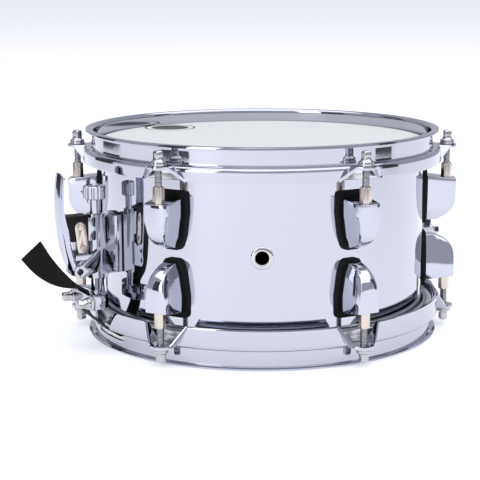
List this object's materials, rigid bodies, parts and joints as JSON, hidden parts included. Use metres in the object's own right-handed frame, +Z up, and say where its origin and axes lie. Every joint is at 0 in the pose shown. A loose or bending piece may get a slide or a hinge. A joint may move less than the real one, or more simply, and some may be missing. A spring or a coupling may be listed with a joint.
{
  "type": "snare drum",
  "caption": "Shallow chromed-steel snare drum with triple-flanged hoops, separate lugs and tension rods, coated batter head, coiled snares, butt and lever throw-off.",
  "frame": {"origin": "on the drum's axis, in the plane of the snare-side hoop's rim that it stands on", "axes": "+Z up along the drum's axis towards the batter head; the snares run along X, strainer and throw lever at -X, butt at +X; the vent faces the -X -Y side"},
  "size_m": [0.3669, 0.3068, 0.1604],
  "materials": {
    "shell_chrome": "mirror chrome plate on steel",
    "hoop_chrome": "mirror chrome plate on pressed steel",
    "lug_chrome": "mirror chrome plate on die-cast zinc",
    "strainer_chrome": "mirror chrome plate on die-cast zinc",
    "lever_chrome": "mirror chrome plate on pressed steel",
    "trim_chrome": "bright chrome plate on brass",
    "rod_steel": "bright plated steel, darker on the thread",
    "washer_chrome": "bright chrome plate",
    "warm_nickel": "warm nickel plate, satin",
    "zinc_steel": "satin zinc plate",
    "cast_steel": "satin cast metal",
    "dark_steel": "dark oiled steel",
    "ring_aluminium": "satin drawn aluminium",
    "coated_film": "sprayed matte coating on polyester film",
    "clear_film": "thin hazy polyester film",
    "black_rubber": "matte moulded rubber",
    "black_nylon": "moulded nylon",
    "black_strap": "woven nylon ribbon",
    "snare_steel": "bright coiled wire",
    "brass_plate": "satin brass"
  },
  "bodies": {
    "drum": {"batter_head_film": "coated_film", "batter_head_ring": "ring_aluminium", "batter_hoop": "hoop_chrome", "batter_lug_1": "lug_chrome", "batter_lug_2": "lug_chrome", "batter_lug_3": "lug_chrome", "batter_lug_4": "lug_chrome", "batter_lug_5": "lug_chrome", "batter_lug_6": "lug_chrome", "butt_body": "strainer_chrome", "butt_clamp_plate": "strainer_chrome", "butt_clamp_screws": "strainer_chrome", "butt_strap": "black_strap", "lever_pivot_pin": "dark_steel", "lug_gaskets": "black_rubber", "lug_screw_washers": "zinc_steel", "lug_screws": "zinc_steel", "mounting_screws": "zinc_steel", "rod_washers": "washer_chrome", "shell": "shell_chrome", "snare_end_plates": "brass_plate", "snare_head_film": "clear_film", "snare_head_ring": "ring_aluminium", "snare_hoop": "hoop_chrome", "snare_lug_1": "lug_chrome", "snare_lug_2": "lug_chrome", "snare_lug_3": "lug_chrome", "snare_lug_4": "lug_chrome", "snare_lug_5": "lug_chrome", "snare_lug_6": "lug_chrome", "snare_wires": "snare_steel", "stop_block": "black_nylon", "stop_plate": "warm_nickel", "stop_plate_screws": "warm_nickel", "stop_spacer": "cast_steel", "strainer_body": "strainer_chrome", "strainer_pad": "black_rubber", "strainer_strap": "black_strap", "swivel_nuts": "warm_nickel", "vent_grommet": "trim_chrome"},
    "throw_lever": {"throw_lever": "lever_chrome", "lever_arm": "cast_steel"},
    "lift_piston": {"lift_piston": "strainer_chrome"},
    "height_knob": {"adjust_knob": "strainer_chrome", "adjust_spindle": "strainer_chrome"},
    "snare_clamp": {"strainer_clamp_block": "strainer_chrome", "strainer_clamp_plate": "strainer_chrome", "strainer_clamp_screws": "strainer_chrome"},
    "batter_rod_1": {"batter_rod_1": "rod_steel"},
    "batter_rod_2": {"batter_rod_2": "rod_steel"},
    "batter_rod_3": {"batter_rod_3": "rod_steel"},
    "batter_rod_4": {"batter_rod_4": "rod_steel"},
    "batter_rod_5": {"batter_rod_5": "rod_steel"},
    "batter_rod_6": {"batter_rod_6": "rod_steel"},
    "snare_rod_1": {"snare_rod_1": "rod_steel"},
    "snare_rod_2": {"snare_rod_2": "rod_steel"},
    "snare_rod_3": {"snare_rod_3": "rod_steel"},
    "snare_rod_4": {"snare_rod_4": "rod_steel"},
    "snare_rod_5": {"snare_rod_5": "rod_steel"},
    "snare_rod_6": {"snare_rod_6": "rod_steel"}
  },
  "joints": [
    {"name": "lever_throw", "type": "hinge", "parent": "drum", "child": "throw_lever", "pos_m": [-0.16, 0, 0.0616], "axis": [0, -1, 0], "range_deg": [0, 80], "deforming": ["strainer_strap"]},
    {"name": "piston_drop", "type": "slide", "parent": "drum", "child": "lift_piston", "axis": [0, 0, 1], "range_m": [-0.006, 0]},
    {"name": "knob_turn", "type": "hinge", "parent": "lift_piston", "child": "height_knob", "pos_m": [-0.144, 0, 0.119], "axis": [0, 0, 1], "range_deg": [-720, 720]},
    {"name": "clamp_adjust", "type": "slide", "parent": "lift_piston", "child": "snare_clamp", "axis": [0, 0, 1], "range_m": [-0.0014, 0.0014]},
    {"name": "batter_rod_1_turn", "type": "hinge", "parent": "drum", "child": "batter_rod_1", "pos_m": [0.12627, 0.0729, 0.148], "axis": [0, 0, 1], "continuous": true},
    {"name": "batter_rod_2_turn", "type": "hinge", "parent": "drum", "child": "batter_rod_2", "pos_m": [0, 0.1458, 0.148], "axis": [0, 0, 1], "continuous": true},
    {"name": "batter_rod_3_turn", "type": "hinge", "parent": "drum", "child": "batter_rod_3", "pos_m": [-0.12627, 0.0729, 0.148], "axis": [0, 0, 1], "continuous": true},
    {"name": "batter_rod_4_turn", "type": "hinge", "parent": "drum", "child": "batter_rod_4", "pos_m": [-0.12627, -0.0729, 0.148], "axis": [0, 0, 1], "continuous": true},
    {"name": "batter_rod_5_turn", "type": "hinge", "parent": "drum", "child": "batter_rod_5", "pos_m": [0, -0.1458, 0.148], "axis": [0, 0, 1], "continuous": true},
    {"name": "batter_rod_6_turn", "type": "hinge", "parent": "drum", "child": "batter_rod_6", "pos_m": [0.12627, -0.0729, 0.148], "axis": [0, 0, 1], "continuous": true},
    {"name": "snare_rod_1_turn", "type": "hinge", "parent": "drum", "child": "snare_rod_1", "pos_m": [0.12627, 0.0729, 0.0124], "axis": [0, 0, -1], "continuous": true},
    {"name": "snare_rod_2_turn", "type": "hinge", "parent": "drum", "child": "snare_rod_2", "pos_m": [0, 0.1458, 0.0124], "axis": [0, 0, -1], "continuous": true},
    {"name": "snare_rod_3_turn", "type": "hinge", "parent": "drum", "child": "snare_rod_3", "pos_m": [-0.12627, 0.0729, 0.0124], "axis": [0, 0, -1], "continuous": true},
    {"name": "snare_rod_4_turn", "type": "hinge", "parent": "drum", "child": "snare_rod_4", "pos_m": [-0.12627, -0.0729, 0.0124], "axis": [0, 0, -1], "continuous": true},
    {"name": "snare_rod_5_turn", "type": "hinge", "parent": "drum", "child": "snare_rod_5", "pos_m": [0, -0.1458, 0.0124], "axis": [0, 0, -1], "continuous": true},
    {"name": "snare_rod_6_turn", "type": "hinge", "parent": "drum", "child": "snare_rod_6", "pos_m": [0.12627, -0.0729, 0.0124], "axis": [0, 0, -1], "continuous": true}
  ],
  "couplings": [
    {"joint": "lever_throw", "follows": "piston_drop", "rad_per_m": -232.71},
    {"joint": "knob_turn", "follows": "clamp_adjust", "rad_per_m": 8976}
  ]
}
